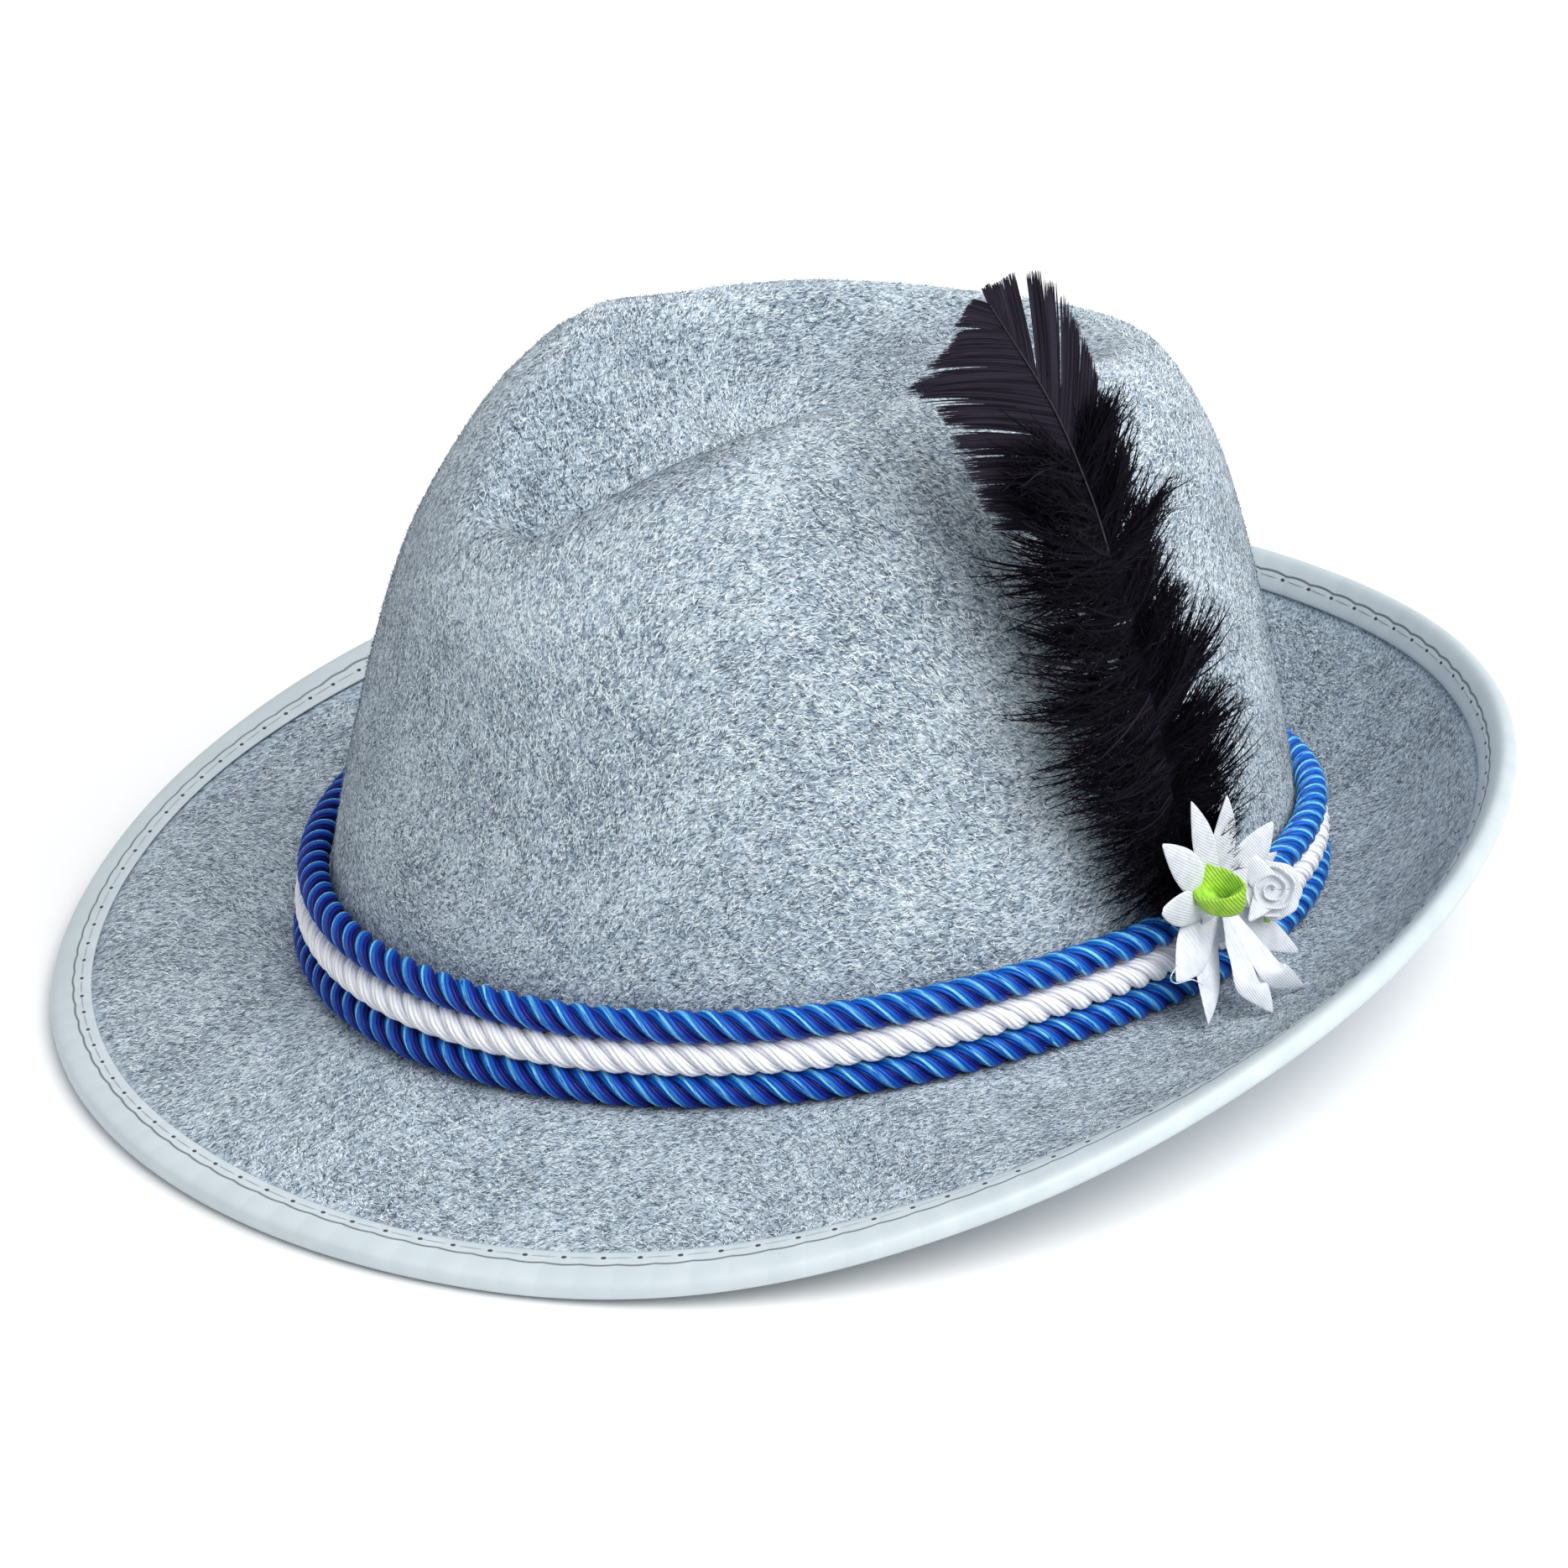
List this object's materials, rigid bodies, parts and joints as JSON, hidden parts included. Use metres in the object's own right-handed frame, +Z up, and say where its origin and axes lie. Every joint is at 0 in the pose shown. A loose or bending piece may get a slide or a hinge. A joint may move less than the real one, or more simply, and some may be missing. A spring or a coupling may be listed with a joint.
{
  "type": "tyrolean hat",
  "caption": "Light grey felt hat with an upturned bound brim, a creased crown, blue and white twisted cords, a dark feather and a white ribbon flower on its left side.",
  "frame": {"origin": "on the floor under the middle of the whole hat's bounding box, the hat lying on its brim", "axes": "+Z up, front of the hat towards -Y, the wearer's left (feather and flower) towards +X"},
  "size_m": [0.2702, 0.3062, 0.1582],
  "materials": {
    "felt": "heathered light blue-grey wool-look felt, matt",
    "binding": "pale grey-green smooth vinyl strip, satin",
    "cord_blue": "royal blue twisted satin cord, glossy threads",
    "cord_white": "white twisted satin cord",
    "feather": "black dyed feather, soft barbs",
    "satin_white": "white satin ribbon with fine cross ribs",
    "ribbon_green": "bright green ribbed ribbon"
  },
  "bodies": {
    "root": {"felt_body": "felt", "brim_binding": "binding", "cord_blue_lower": "cord_blue", "cord_white": "cord_white", "cord_blue_upper": "cord_blue", "petal_star": "satin_white", "leaf_loop": "ribbon_green", "ribbon_rose": "satin_white", "feather": "feather"}
  },
  "joints": []
}
